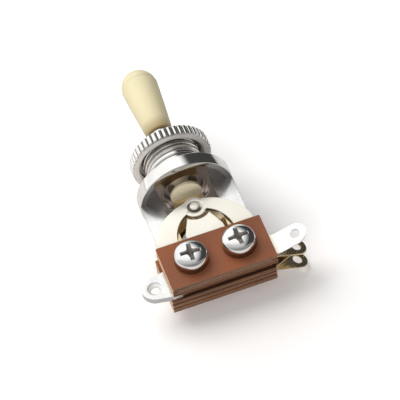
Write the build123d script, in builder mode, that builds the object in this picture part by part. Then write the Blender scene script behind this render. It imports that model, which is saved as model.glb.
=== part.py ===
"""Three-way guitar toggle switch, in millimetres.

The origin is on the bushing's axis in the flange's upper face, which seats against the back of a panel.
+Z runs along the bushing to the lever's tip, +X points to the contact lugs and -Y to the screw heads.
Contact leaves and insulators are stacked along Y, and clamped by two screws.
"""

import os
from math import cos, radians, sqrt, tan

from build123d import *

# Clearances
RUNNING = 0.05  # ball in its seat, nut on the thread
HOLE_CLEARANCE = 0.05  # screws in sleeves, sleeves in the stack

# Bushing: threaded barrel and flange cup, turned in one piece
THREAD_R = 6.0
BARREL_TOP = 10.8
BARREL_CHAMFER = 0.6
THREAD_PITCH = 1.25
THREAD_DEPTH = 0.5
THREAD_CREST = 0.3  # flat left between two grooves
FIRST_GROOVE = 1.22  # middle of the lowest groove, above the flange
FLANGE_R = 10.0
FLANGE_WEB = 1.9
FLANGE_HEIGHT = 2.9
CUP_WALL = 1.4
FLANGE_CHAMFER = 0.25
MOUTH_R = 4.1

# Panel nut
NUT_R = 8.6
NUT_BOTTOM = 6.64
NUT_HEIGHT = 2.62
NUT_COUNTERSINK = 1.15  # width and depth of the lower one, and twice the upper one's
NUT_CHAMFER = 0.3
KNURL_COUNT = 46
KNURL_LOBE_R = 0.6
KNURL_TURN = 1.0  # degrees

# Lever and its pivot
SWING = 12.0  # degrees each way
PIVOT_Z = 5.0
BALL_R = 3.5
ROD_R = 2.4
SHANK_R = 1.6
FOOT_R = 3.3
FOOT_BOTTOM = -2.45
FOOT_THICKNESS = 0.8
STUD_R = 1.9
STUD_LENGTH = 7.0

# Ring that holds the ball from below
RETAINER_R = 4.2
RETAINER_HEIGHT = 2.8
SEAT_LIP = 1.8  # height of each seat's edge above or below the pivot
RETAINER_WIDENING = 0.55

# Moulded tip
TIP_BOTTOM = 14.3
TIP_CONE_HEIGHT = 13.9
TIP_BOTTOM_R = 2.85
TIP_TOP_R = 3.95
TIP_STEP = 0.12
TIP_ROUND = 0.45
TIP_HOLE_DEPTH = 8.5

# Frame: flat plate with two legs and a ground lug
FRAME_THICKNESS = 1.3
FRAME_HALF_WIDTH = 9.85
WINDOW_HALF_WIDTH = 5.5
WINDOW_DEPTH = 1.2  # below the stack's upper edge
WINDOW_CORNER_R = 0.8
FRAME_BOTTOM_RECESS = 0.5
GROUND_LUG_REACH = 3.71  # from the frame's side to the hole
GROUND_HOLE_Z = -23.2
GROUND_LUG_R = 2.75
GROUND_ROOT_HALF_WIDTH = 3.3
GROUND_DISH_R = 1.45

# Stack of plates, leaves and insulators
STACK_TOP = -15.92
STACK_HEIGHT = 10.79
STACK_OVERHANG = 1.125  # past the frame's sides
FRONT_GROUP_X = 0.13  # middle of the plates in front of the frame
REAR_GROUP_X = -0.33  # middle of the plates behind it
PLATE_CORNER_R = 0.25
LEAF_THICKNESS = 0.25
COMMON_THICKNESS = 0.2
FRAME_FRONT_Y = -1.6
FRONT_PLATE_THICKNESS = 1.05
FRONT_INSULATOR_THICKNESS = 0.65
FRONT_INNER_THICKNESS = 0.3
REAR_INNER_THICKNESS = 1.15
REAR_INSULATOR_THICKNESS = 1.05
REAR_PLATE_THICKNESS = 1.05

# Screws, sleeves and nuts
SCREW_INSET = 4.85  # from the frame's side
SCREW_Z = -21.3
SCREW_R = 1.5
HEAD_R = 3.3
HEAD_HEIGHT = 3.0
HEAD_EDGE = 0.9
HEAD_FULLNESS = 0.7  # 0.55 makes the crown a quarter ellipse, and more makes its shoulder squarer
RECESS_SPAN = 4.1
RECESS_WIDTH = 0.85
RECESS_DEPTH = 1.9
RECESS_TAPER = 9.0
RECESS_TURNS = {"left": 4.0, "right": -2.0}  # degrees
SLEEVE_R = 2.2
NUT_FLATS = 5.5
SCREW_NUT_THICKNESS = 2.4
SCREW_END = 0.8
SCREW_END_CHAMFER = 0.3

# Contact leaves
LEAF_OVERHANG = 0.1  # past the frame's sides
LEAF_BOTTOM_RECESS = 0.1
LOOP_BULGE = 0.35  # of the loop past the clamped part's sides
LOOP_Z = -16.8
CUTOUT_HALF_WIDTH = 6.0
CUTOUT_HALF_HEIGHT = 7.6
CUTOUT_Z = -16.5
CUTOUT_DEPTH = 1.2  # below the stack's upper edge
RING_Z = -8.2
RING_R = 2.4
RING_HOLE_R = 1.5
TONGUE_TOP_HALF_WIDTH = 2.3
TONGUE_TOP_Z = -10.3
TONGUE_KNEE_HALF_WIDTH = 3.95
TONGUE_KNEE_Z = -14.2
TONGUE_BASE_HALF_WIDTH = 4.3
TONGUE_GAP = 0.85  # between the ring and the tongue's hollow end

# Common leaves
COMMON_LOOP_INSET = 1.0  # inside the contact leaves' loop
WINDOW_TOP_Z = -9.35
WINDOW_TOP_HALF_WIDTH = 2.2
WINDOW_SHOULDER_Z = -10.9
COMMON_WINDOW_HALF_WIDTH = 4.85
COMMON_WINDOW_CORNER_R = 0.9
NECK_HALF_WIDTH = 4.6
NECK_Z = -8.6
SHORT_TOP_Z = -6.3
SHORT_TOP_HALF_WIDTH = 3.4
TALL_TOP_Z = -2.95
TALL_TOP_HALF_WIDTH = 3.3
TALL_KNEE_Z = -4.4
TALL_BEND_Z = -5.9
TALL_LEAN = 10.0  # degrees towards the screw heads

# Lugs
LUG_TOP_Z = -20.8
LUG_BOTTOM_Z = -25.6
LUG_REACH = 6.15  # from the frame's side to the hole
LUG_HOLE_R = 1.0
FRONT_LUG_R = 2.35  # radii of the lugs' ends
COMMON_LUG_R = 2.0
REAR_LUG_R = 2.0
FRONT_LUG_RUN = 2.55  # straight runs from the frame's side to each lug's bend
FRONT_LUG_ANGLE = -17.0
COMMON_LUG_RUN = 1.35
COMMON_LUG_ANGLE = 24.0
PINCH_ANGLE = -28.0
REAR_LUG_RUN = 1.05
REAR_LUG_ANGLE = 25.0

# Contacts
CONTACT_R = 1.8
COMMON_CONTACT_R = 1.1
DOME_R = 1.0
DOME_HEIGHT = 0.45
CONTACT_SHANK_R = 0.8

# Places worked out from the sizes above
CEILING_Z = -FLANGE_WEB
RIM_Z = -FLANGE_HEIGHT
CUP_R = FLANGE_R - CUP_WALL
FOOT_WELL_R = FOOT_R + (PIVOT_Z - FOOT_BOTTOM) * tan(radians(SWING)) + 0.3
FOOT_WELL_TOP = FOOT_BOTTOM + FOOT_THICKNESS + FOOT_R * tan(radians(SWING)) + 0.35
SEAT_R = BALL_R + RUNNING
SEAT_EDGE_R = sqrt(SEAT_R**2 - SEAT_LIP**2)
RETAINER_TOP = PIVOT_Z - SEAT_LIP
STACK_BOTTOM = STACK_TOP - STACK_HEIGHT
STACK_MIDDLE = (STACK_TOP + STACK_BOTTOM) / 2
LEAF_BOTTOM = STACK_BOTTOM + LEAF_BOTTOM_RECESS
FRAME_BOTTOM = STACK_BOTTOM + FRAME_BOTTOM_RECESS
FRAME_REAR_Y = FRAME_FRONT_Y + FRAME_THICKNESS

# The frame's width sets the stack, the leaves, the screws and the lugs
GROUND_HOLE_X = -FRAME_HALF_WIDTH - GROUND_LUG_REACH
STACK_WIDTH = 2 * (FRAME_HALF_WIDTH + STACK_OVERHANG)
SCREW_X = FRAME_HALF_WIDTH - SCREW_INSET
LEAF_HALF_WIDTH = FRAME_HALF_WIDTH + LEAF_OVERHANG
LOOP_R = LEAF_HALF_WIDTH + LOOP_BULGE
COMMON_LOOP_R = LOOP_R - COMMON_LOOP_INSET
LUG_HOLE_X = FRAME_HALF_WIDTH + LUG_REACH
FRONT_LUG_BEND_X = FRAME_HALF_WIDTH + FRONT_LUG_RUN
COMMON_LUG_BEND_X = FRAME_HALF_WIDTH + COMMON_LUG_RUN
REAR_LUG_BEND_X = FRAME_HALF_WIDTH + REAR_LUG_RUN

# Front faces of the layers, from the frame forwards and backwards
FRONT_INNER_Y = FRAME_FRONT_Y - FRONT_INNER_THICKNESS
FRONT_COMMON_Y = FRONT_INNER_Y - COMMON_THICKNESS
FRONT_INSULATOR_Y = FRONT_COMMON_Y - FRONT_INSULATOR_THICKNESS
FRONT_LEAF_Y = FRONT_INSULATOR_Y - LEAF_THICKNESS
FRONT_PLATE_Y = FRONT_LEAF_Y - FRONT_PLATE_THICKNESS
REAR_COMMON_Y = FRAME_REAR_Y + REAR_INNER_THICKNESS
REAR_INSULATOR_Y = REAR_COMMON_Y + LEAF_THICKNESS
REAR_LEAF_Y = REAR_INSULATOR_Y + REAR_INSULATOR_THICKNESS
REAR_PLATE_Y = REAR_LEAF_Y + LEAF_THICKNESS
STACK_REAR_Y = REAR_PLATE_Y + REAR_PLATE_THICKNESS

LUG_HOLE_Z = (LUG_TOP_Z + LUG_BOTTOM_Z) / 2
SLEEVE_HOLE_R = SLEEVE_R + HOLE_CLEARANCE
SCREW_HOLE_R = SCREW_R + HOLE_CLEARANCE
FAR = 40.0  # reach of cutting and intersecting bodies, past the whole switch


def finish(part, name):
    """Labels a piece and writes it."""
    part.label = name
    export_step(part, f"parts/{name}.step")


def dome_radius(half_width, height):
    """Radius of a round cap of this half width and height."""
    return (half_width**2 + height**2) / (2 * height)


def facing(y):
    """Plane across the stack at y: local x is X, local y is Z, and its normal points to the screw heads."""
    return Plane(origin=(0, y, 0), x_dir=(1, 0, 0), z_dir=(0, -1, 0))


os.makedirs("parts", exist_ok=True)

# Bushing: the thread is drawn as grooves round the barrel, one to each turn
groove_half_width = (THREAD_PITCH - THREAD_CREST) / 2
groove_run = BARREL_TOP - BARREL_CHAMFER - groove_half_width - FIRST_GROOVE
thread_points = []
for turn in range(int(groove_run / THREAD_PITCH) + 1):
    groove_z = FIRST_GROOVE + turn * THREAD_PITCH
    thread_points += [
        (THREAD_R, groove_z - groove_half_width),
        (THREAD_R - THREAD_DEPTH, groove_z),
        (THREAD_R, groove_z + groove_half_width),
    ]
with BuildPart() as bushing:
    with BuildSketch(Plane.XZ):
        with BuildLine():
            Polyline(
                (SEAT_R, PIVOT_Z),
                (SEAT_R, RETAINER_TOP),
                (RETAINER_R, RETAINER_TOP),
                (RETAINER_R, FOOT_WELL_TOP),
                (FOOT_WELL_R, FOOT_WELL_TOP),
                (FOOT_WELL_R, CEILING_Z),
                (CUP_R, CEILING_Z),
                (CUP_R, RIM_Z),
                (FLANGE_R - FLANGE_CHAMFER, RIM_Z),
                (FLANGE_R, RIM_Z + FLANGE_CHAMFER),
                (FLANGE_R, -FLANGE_CHAMFER),
                (FLANGE_R - FLANGE_CHAMFER, 0),
                (THREAD_R, 0),
                *thread_points,
                (THREAD_R, BARREL_TOP - BARREL_CHAMFER),
                (THREAD_R - BARREL_CHAMFER, BARREL_TOP),
                (MOUTH_R, BARREL_TOP),
                (SEAT_EDGE_R, PIVOT_Z + SEAT_LIP),
            )
            RadiusArc((SEAT_EDGE_R, PIVOT_Z + SEAT_LIP), (SEAT_R, PIVOT_Z), SEAT_R)
        make_face()
    revolve(axis=Axis.Z)
finish(bushing.part, "bushing")

# Ring pressed in below the ball
shank_exit_r = SHANK_R + (PIVOT_Z - RETAINER_TOP + RETAINER_HEIGHT) * tan(radians(SWING)) + RETAINER_WIDENING
seat_floor_r = sqrt(SEAT_R**2 - (SEAT_LIP + RETAINER_WIDENING) ** 2)
with BuildPart() as ball_retainer:
    with BuildSketch(Plane.XZ):
        with BuildLine():
            Polyline(
                (SEAT_EDGE_R, RETAINER_TOP),
                (RETAINER_R, RETAINER_TOP),
                (RETAINER_R, RETAINER_TOP - RETAINER_HEIGHT),
                (shank_exit_r, RETAINER_TOP - RETAINER_HEIGHT),
                (seat_floor_r, RETAINER_TOP - RETAINER_WIDENING),
            )
            RadiusArc(
                (seat_floor_r, RETAINER_TOP - RETAINER_WIDENING), (SEAT_EDGE_R, RETAINER_TOP), -SEAT_R
            )
        make_face()
    revolve(axis=Axis.Z)
finish(ball_retainer.part, "ball_retainer")

# Knurled panel nut: rounded lands round the rim, countersunk bore
land_r = NUT_R - KNURL_LOBE_R
nut_bore_r = THREAD_R + RUNNING
nut_top = NUT_BOTTOM + NUT_HEIGHT
with BuildPart() as knurled_nut:
    with BuildSketch(Plane.XY.offset(NUT_BOTTOM)):
        Circle(land_r + KNURL_LOBE_R / 4)
        with PolarLocations(land_r, KNURL_COUNT, start_angle=KNURL_TURN):
            Circle(KNURL_LOBE_R)
    extrude(amount=NUT_HEIGHT)
    with BuildSketch(Plane.XZ):
        with BuildLine():
            Polyline(
                (nut_bore_r + NUT_COUNTERSINK, NUT_BOTTOM),
                (NUT_R - NUT_CHAMFER, NUT_BOTTOM),
                (NUT_R, NUT_BOTTOM + NUT_CHAMFER),
                (NUT_R, nut_top - NUT_CHAMFER),
                (NUT_R - NUT_CHAMFER, nut_top),
                (nut_bore_r + NUT_COUNTERSINK / 2, nut_top),
                (nut_bore_r, nut_top - NUT_COUNTERSINK / 2),
                (nut_bore_r, NUT_BOTTOM + NUT_COUNTERSINK),
                close=True,
            )
        make_face()
    revolve(axis=Axis.Z, mode=Mode.INTERSECT)
finish(knurled_nut.part, "knurled_nut")

# Lever: rod, ball, shank and foot disc, turned in one piece
ball_top_z = PIVOT_Z + sqrt(BALL_R**2 - ROD_R**2)
ball_bottom_z = PIVOT_Z - sqrt(BALL_R**2 - SHANK_R**2)
with BuildPart() as lever:
    with BuildSketch(Plane.XZ):
        with BuildLine():
            Polyline(
                (SHANK_R, ball_bottom_z),
                (SHANK_R, FOOT_BOTTOM + FOOT_THICKNESS),
                (FOOT_R, FOOT_BOTTOM + FOOT_THICKNESS),
                (FOOT_R, FOOT_BOTTOM),
                (0, FOOT_BOTTOM),
                (0, TIP_BOTTOM + STUD_LENGTH),
                (STUD_R, TIP_BOTTOM + STUD_LENGTH),
                (STUD_R, TIP_BOTTOM),
                (ROD_R, TIP_BOTTOM),
                (ROD_R, ball_top_z),
            )
            ThreePointArc((ROD_R, ball_top_z), (BALL_R, PIVOT_Z), (SHANK_R, ball_bottom_z))
        make_face()
    revolve(axis=Axis.Z)
finish(lever.part, "lever")

# Tip: a slim cone with a fine step below its dome
dome_z = TIP_BOTTOM + TIP_CONE_HEIGHT
dome_r = TIP_TOP_R - TIP_STEP
with BuildPart() as lever_tip:
    with BuildSketch(Plane.XZ):
        with BuildLine():
            Polyline(
                (STUD_R, TIP_BOTTOM),
                (TIP_BOTTOM_R, TIP_BOTTOM),
                (TIP_TOP_R, dome_z),
                (dome_r, dome_z + TIP_STEP),
            )
            RadiusArc((dome_r, dome_z + TIP_STEP), (0, dome_z + TIP_STEP + dome_r), -dome_r)
            Polyline(
                (0, dome_z + TIP_STEP + dome_r),
                (0, TIP_BOTTOM + TIP_HOLE_DEPTH),
                (STUD_R, TIP_BOTTOM + TIP_HOLE_DEPTH),
                (STUD_R, TIP_BOTTOM),
            )
        face = make_face()
        fillet(face.vertices().sort_by_distance((TIP_BOTTOM_R, 0, TIP_BOTTOM))[0], TIP_ROUND)
    revolve(axis=Axis.Z)
finish(lever_tip.part, "lever_tip")

# Frame: tabs reach up inside the cup, and shoulders meet its rim
tab_half_width = sqrt(CUP_R**2 - FRAME_FRONT_Y**2) - HOLE_CLEARANCE
window_floor = STACK_TOP - WINDOW_DEPTH
with BuildPart() as frame:
    with BuildSketch(facing(FRAME_FRONT_Y)):
        with BuildLine():
            outline = Polyline(
                (-tab_half_width, CEILING_Z),
                (-tab_half_width, RIM_Z),
                (-FRAME_HALF_WIDTH, RIM_Z),
                (-FRAME_HALF_WIDTH, FRAME_BOTTOM),
                (FRAME_HALF_WIDTH, FRAME_BOTTOM),
                (FRAME_HALF_WIDTH, RIM_Z),
                (tab_half_width, RIM_Z),
                (tab_half_width, CEILING_Z),
                close=True,
            )
        make_face()
        with BuildSketch(mode=Mode.PRIVATE) as ground_lug:
            with Locations((GROUND_HOLE_X, GROUND_HOLE_Z)):
                Circle(GROUND_LUG_R)
            with Locations((-FRAME_HALF_WIDTH, GROUND_HOLE_Z)):
                Rectangle(2, 2 * GROUND_ROOT_HALF_WIDTH)
            make_hull()
        add(ground_lug.sketch)
        with Locations((0, (CEILING_Z + window_floor) / 2)):
            Rectangle(2 * WINDOW_HALF_WIDTH, CEILING_Z - window_floor, mode=Mode.SUBTRACT)
        with Locations((-SCREW_X, SCREW_Z), (SCREW_X, SCREW_Z)):
            Circle(SLEEVE_HOLE_R, mode=Mode.SUBTRACT)
    extrude(amount=-FRAME_THICKNESS)
    inner_corners = frame.edges().filter_by(Axis.Y).filter_by_position(
        Axis.Z, window_floor - WINDOW_CORNER_R, window_floor + WINDOW_CORNER_R
    )
    fillet(inner_corners.filter_by_position(Axis.X, -WINDOW_HALF_WIDTH, WINDOW_HALF_WIDTH), WINDOW_CORNER_R)
    with Locations(Plane(origin=(GROUND_HOLE_X, FRAME_FRONT_Y, GROUND_HOLE_Z), z_dir=(0, -1, 0))):
        CounterSinkHole(LUG_HOLE_R, GROUND_DISH_R)
finish(frame.part, "frame")


def stack_plate(name, front_y, thickness, middle_x, hole_r):
    """One punched insulating plate of the stack, with its two holes."""
    with BuildPart() as plate:
        with BuildSketch(facing(front_y)):
            with Locations((middle_x, STACK_MIDDLE)):
                RectangleRounded(STACK_WIDTH, STACK_HEIGHT, PLATE_CORNER_R)
            with Locations((-SCREW_X, SCREW_Z), (SCREW_X, SCREW_Z)):
                Circle(hole_r, mode=Mode.SUBTRACT)
        extrude(amount=-thickness)
    finish(plate.part, name)


stack_plate("front_plate", FRONT_PLATE_Y, FRONT_PLATE_THICKNESS, FRONT_GROUP_X, SCREW_HOLE_R)
stack_plate("front_insulator", FRONT_INSULATOR_Y, FRONT_INSULATOR_THICKNESS, FRONT_GROUP_X, SLEEVE_HOLE_R)
stack_plate("front_inner_insulator", FRONT_INNER_Y, FRONT_INNER_THICKNESS, FRONT_GROUP_X, SLEEVE_HOLE_R)
stack_plate("rear_inner_insulator", FRAME_REAR_Y, REAR_INNER_THICKNESS, REAR_GROUP_X, SLEEVE_HOLE_R)
stack_plate("rear_insulator", REAR_INSULATOR_Y, REAR_INSULATOR_THICKNESS, REAR_GROUP_X, SLEEVE_HOLE_R)
stack_plate("rear_plate", REAR_PLATE_Y, REAR_PLATE_THICKNESS, REAR_GROUP_X, SCREW_HOLE_R)


def leaf_base():
    """Adds the clamped part of a leaf's outline, inside the stack."""
    with Locations((0, (STACK_TOP + LEAF_BOTTOM) / 2)):
        Rectangle(2 * LEAF_HALF_WIDTH, STACK_TOP - LEAF_BOTTOM)


def lug_and_holes(end_r):
    """Adds the lug's outline, rounded at its end, and cuts the holes for the sleeves."""
    with BuildSketch(mode=Mode.PRIVATE) as lug:
        with Locations((LUG_HOLE_X, LUG_HOLE_Z)):
            Circle(end_r)
        with Locations((LEAF_HALF_WIDTH, LUG_HOLE_Z)):
            Rectangle(2, LUG_TOP_Z - LUG_BOTTOM_Z)
        make_hull()
    add(lug.sketch)
    with Locations((-SCREW_X, SCREW_Z), (SCREW_X, SCREW_Z)):
        Circle(SLEEVE_HOLE_R, mode=Mode.SUBTRACT)


def contact_outline(rivet_hole_r, lug_end_r):
    """Outline of a contact leaf: a sprung loop that ends in a ring, with a tongue inside the loop."""
    with BuildSketch(facing(0)) as outline:
        leaf_base()
        with BuildSketch(mode=Mode.PRIVATE) as loop:
            with Locations((0, LOOP_Z)):
                Circle(LOOP_R)
            with Locations((0, CUTOUT_Z)):
                Ellipse(CUTOUT_HALF_WIDTH, CUTOUT_HALF_HEIGHT, mode=Mode.SUBTRACT)
            split(bisect_by=Plane.XZ.offset(-STACK_TOP), keep=Keep.BOTTOM)
        add(loop.sketch)
        with Locations((0, CUTOUT_Z)):
            Ellipse(CUTOUT_HALF_WIDTH, STACK_TOP - CUTOUT_Z + CUTOUT_DEPTH, mode=Mode.SUBTRACT)
        with BuildSketch(mode=Mode.PRIVATE) as tongue:
            with BuildLine():
                Polyline(
                    (-TONGUE_BASE_HALF_WIDTH, CUTOUT_Z - 2 * CUTOUT_DEPTH),
                    (-TONGUE_KNEE_HALF_WIDTH, TONGUE_KNEE_Z),
                    (-TONGUE_TOP_HALF_WIDTH, TONGUE_TOP_Z),
                    (TONGUE_TOP_HALF_WIDTH, TONGUE_TOP_Z),
                    (TONGUE_KNEE_HALF_WIDTH, TONGUE_KNEE_Z),
                    (TONGUE_BASE_HALF_WIDTH, CUTOUT_Z - 2 * CUTOUT_DEPTH),
                    close=True,
                )
            make_face()
            with Locations((0, RING_Z)):
                Circle(RING_R + TONGUE_GAP, mode=Mode.SUBTRACT)
        add(tongue.sketch)
        with Locations((0, RING_Z)):
            Circle(RING_R)
            Circle(rivet_hole_r, mode=Mode.SUBTRACT)
        lug_and_holes(lug_end_r)
    return outline.sketch


def common_outline(top_points):
    """Outline of a common leaf: a loop round a cornered window, and a blade above it up to the top points."""
    mirrored = [(-x, z) for x, z in reversed(top_points)]
    with BuildSketch(facing(0)) as outline:
        leaf_base()
        with BuildSketch(mode=Mode.PRIVATE) as loop:
            with Locations((0, LOOP_Z)):
                Circle(COMMON_LOOP_R)
            split(bisect_by=Plane.XZ.offset(-STACK_TOP), keep=Keep.BOTTOM)
        add(loop.sketch)
        with BuildLine():
            Polyline(
                (NECK_HALF_WIDTH, STACK_TOP),
                (NECK_HALF_WIDTH, NECK_Z),
                *top_points,
                *mirrored,
                (-NECK_HALF_WIDTH, NECK_Z),
                (-NECK_HALF_WIDTH, STACK_TOP),
                close=True,
            )
        make_face()
        with BuildSketch(mode=Mode.PRIVATE) as window:
            with BuildLine():
                Polyline(
                    (COMMON_WINDOW_HALF_WIDTH, STACK_TOP - CUTOUT_DEPTH),
                    (COMMON_WINDOW_HALF_WIDTH, WINDOW_SHOULDER_Z),
                    (WINDOW_TOP_HALF_WIDTH, WINDOW_TOP_Z),
                    (-WINDOW_TOP_HALF_WIDTH, WINDOW_TOP_Z),
                    (-COMMON_WINDOW_HALF_WIDTH, WINDOW_SHOULDER_Z),
                    (-COMMON_WINDOW_HALF_WIDTH, STACK_TOP - CUTOUT_DEPTH),
                    close=True,
                )
            make_face()
            upper_corners = window.vertices().filter_by_position(Axis.Y, WINDOW_SHOULDER_Z, WINDOW_TOP_Z)
            fillet(upper_corners, COMMON_WINDOW_CORNER_R)
        add(window.sketch, mode=Mode.SUBTRACT)
        with Locations((0, RING_Z)):
            Circle(CONTACT_SHANK_R, mode=Mode.SUBTRACT)
        lug_and_holes(COMMON_LUG_R)
    return outline.sketch


def sheet_section(plane, points, thickness, side):
    """Section through a folded sheet: a path of straight runs, thickened to one side."""
    with BuildSketch(plane) as section:
        with BuildLine():
            Polyline(*points)
            offset(amount=thickness, side=side)
        make_face()
    return section.sketch


def run_to(start, angle, end_x):
    """Point at end_x on a straight run from start that rises at the angle, in degrees."""
    return (end_x, start[1] + (end_x - start[0]) * tan(radians(angle)))


def leaf_part(name, front_y, thickness, outline, lug_points, blade_points=None):
    """A leaf stamped to its outline and folded: the blade along Z, and the lug along X."""
    flat_blade = [(front_y, LEAF_BOTTOM - 1), (front_y, 0)]
    with BuildPart() as leaf:
        blade_section = sheet_section(Plane.YZ, blade_points or flat_blade, thickness, Side.RIGHT)
        extrude(blade_section, amount=LOOP_R, both=True)
        lug_section = sheet_section(Plane.XY.offset(LUG_HOLE_Z), lug_points, thickness, Side.LEFT)
        extrude(lug_section, amount=LUG_TOP_Z - LUG_BOTTOM_Z, both=True)
        extrude(outline, amount=FAR, both=True, dir=(0, 1, 0), mode=Mode.INTERSECT)
        with Locations(lug_hole_plane(lug_points)):
            Hole(LUG_HOLE_R, depth=2 * thickness)
    finish(leaf.part, name)


def lug_hole_plane(lug_points):
    """Plane across the lug at its hole, a little in front of the sheet."""
    (x0, y0), (x1, y1) = lug_points[-2:]
    along = Vector(x1 - x0, y1 - y0, 0).normalized()
    normal = Vector(along.Y, -along.X, 0)
    y_at_hole = y0 + (LUG_HOLE_X - x0) * (y1 - y0) / (x1 - x0)
    return Plane(origin=Vector(LUG_HOLE_X, y_at_hole, LUG_HOLE_Z) + normal * 0.1, z_dir=normal)


# Front leaf
lug_root = (FRONT_LUG_BEND_X, FRONT_LEAF_Y)
front_lug = [(0, FRONT_LEAF_Y), lug_root, run_to(lug_root, FRONT_LUG_ANGLE, FAR / 2)]
front_outline = contact_outline(RING_HOLE_R, FRONT_LUG_R)
leaf_part("front_leaf", FRONT_LEAF_Y, LEAF_THICKNESS, front_outline, front_lug)

# Rear leaf
lug_root = (REAR_LUG_BEND_X, REAR_LEAF_Y)
rear_lug = [(0, REAR_LEAF_Y), lug_root, run_to(lug_root, REAR_LUG_ANGLE, FAR / 2)]
rear_outline = contact_outline(CONTACT_SHANK_R, REAR_LUG_R)
leaf_part("rear_leaf", REAR_LEAF_Y, LEAF_THICKNESS, rear_outline, rear_lug)

# Front common leaf: a short blade behind the front ring
short_blade = common_outline([(SHORT_TOP_HALF_WIDTH, SHORT_TOP_Z)])
lug_root = (COMMON_LUG_BEND_X, FRONT_COMMON_Y)
front_common_lug = [(0, FRONT_COMMON_Y), lug_root, run_to(lug_root, COMMON_LUG_ANGLE, FAR / 2)]
leaf_part("front_common_leaf", FRONT_COMMON_Y, COMMON_THICKNESS, short_blade, front_common_lug)

# Rear common leaf: a tall blade that leans forwards to end under the lever's foot, with its lug pinched
# forwards to lie against the lug of the front common leaf
tall_blade = common_outline([(TALL_TOP_HALF_WIDTH, TALL_KNEE_Z), (TALL_TOP_HALF_WIDTH, TALL_TOP_Z)])
blade_points = [
    (REAR_COMMON_Y, LEAF_BOTTOM - 1),
    (REAR_COMMON_Y, TALL_BEND_Z),
    (REAR_COMMON_Y + TALL_BEND_Z * tan(radians(TALL_LEAN)), 0),
]
pinch_root = (COMMON_LUG_BEND_X, REAR_COMMON_Y)
# The pinched run meets the line of the front lug's rear face
rise, fall = tan(radians(COMMON_LUG_ANGLE)), tan(radians(PINCH_ANGLE))
meeting_y = FRONT_COMMON_Y + COMMON_THICKNESS / cos(radians(COMMON_LUG_ANGLE))
meeting_x = COMMON_LUG_BEND_X + (REAR_COMMON_Y - meeting_y) / (rise - fall)
meeting = run_to(pinch_root, PINCH_ANGLE, meeting_x)
rear_common_lug = [(0, REAR_COMMON_Y), pinch_root, meeting, run_to(meeting, COMMON_LUG_ANGLE, FAR / 2)]
leaf_part("rear_common_leaf", REAR_COMMON_Y, LEAF_THICKNESS, tall_blade, rear_common_lug, blade_points)

# Contacts: each is riveted through its leaf, and the two of a pair meet halfway
front_gap = FRONT_COMMON_Y - FRONT_LEAF_Y - LEAF_THICKNESS
rear_gap = REAR_LEAF_Y - REAR_COMMON_Y - LEAF_THICKNESS


def contact(name, head_r, meeting_y, leaf_y, leaf_thickness, leaf_is_in_front, shank_r=CONTACT_SHANK_R):
    """A rivet contact: head against the leaf, shank through it, and a low dome on the far side."""
    near_face = leaf_y + leaf_thickness if leaf_is_in_front else leaf_y
    far_face = leaf_y if leaf_is_in_front else leaf_y + leaf_thickness
    outward = -1 if leaf_is_in_front else 1
    dome_end = far_face + outward * DOME_HEIGHT
    with BuildPart() as rivet:
        with BuildSketch(Plane.XY.offset(RING_Z)):
            with BuildLine():
                Polyline(
                    (0, dome_end),
                    (0, meeting_y),
                    (head_r, meeting_y),
                    (head_r, near_face),
                    (shank_r, near_face),
                    (shank_r, far_face),
                )
                RadiusArc((shank_r, far_face), (0, dome_end), -outward * dome_radius(shank_r, DOME_HEIGHT))
            make_face()
        revolve(axis=Axis((0, 0, RING_Z), (0, 1, 0)))
    finish(rivet.part, name)


front_meeting_y = FRONT_COMMON_Y - front_gap / 2
rear_meeting_y = REAR_LEAF_Y - rear_gap / 2
contact("front_contact", CONTACT_R, front_meeting_y, FRONT_LEAF_Y, LEAF_THICKNESS, True, DOME_R)
contact("front_common_contact", COMMON_CONTACT_R, front_meeting_y, FRONT_COMMON_Y, COMMON_THICKNESS, False)
contact("rear_common_contact", COMMON_CONTACT_R, rear_meeting_y, REAR_COMMON_Y, LEAF_THICKNESS, True)
contact("rear_contact", CONTACT_R, rear_meeting_y, REAR_LEAF_Y, LEAF_THICKNESS, False)

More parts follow.
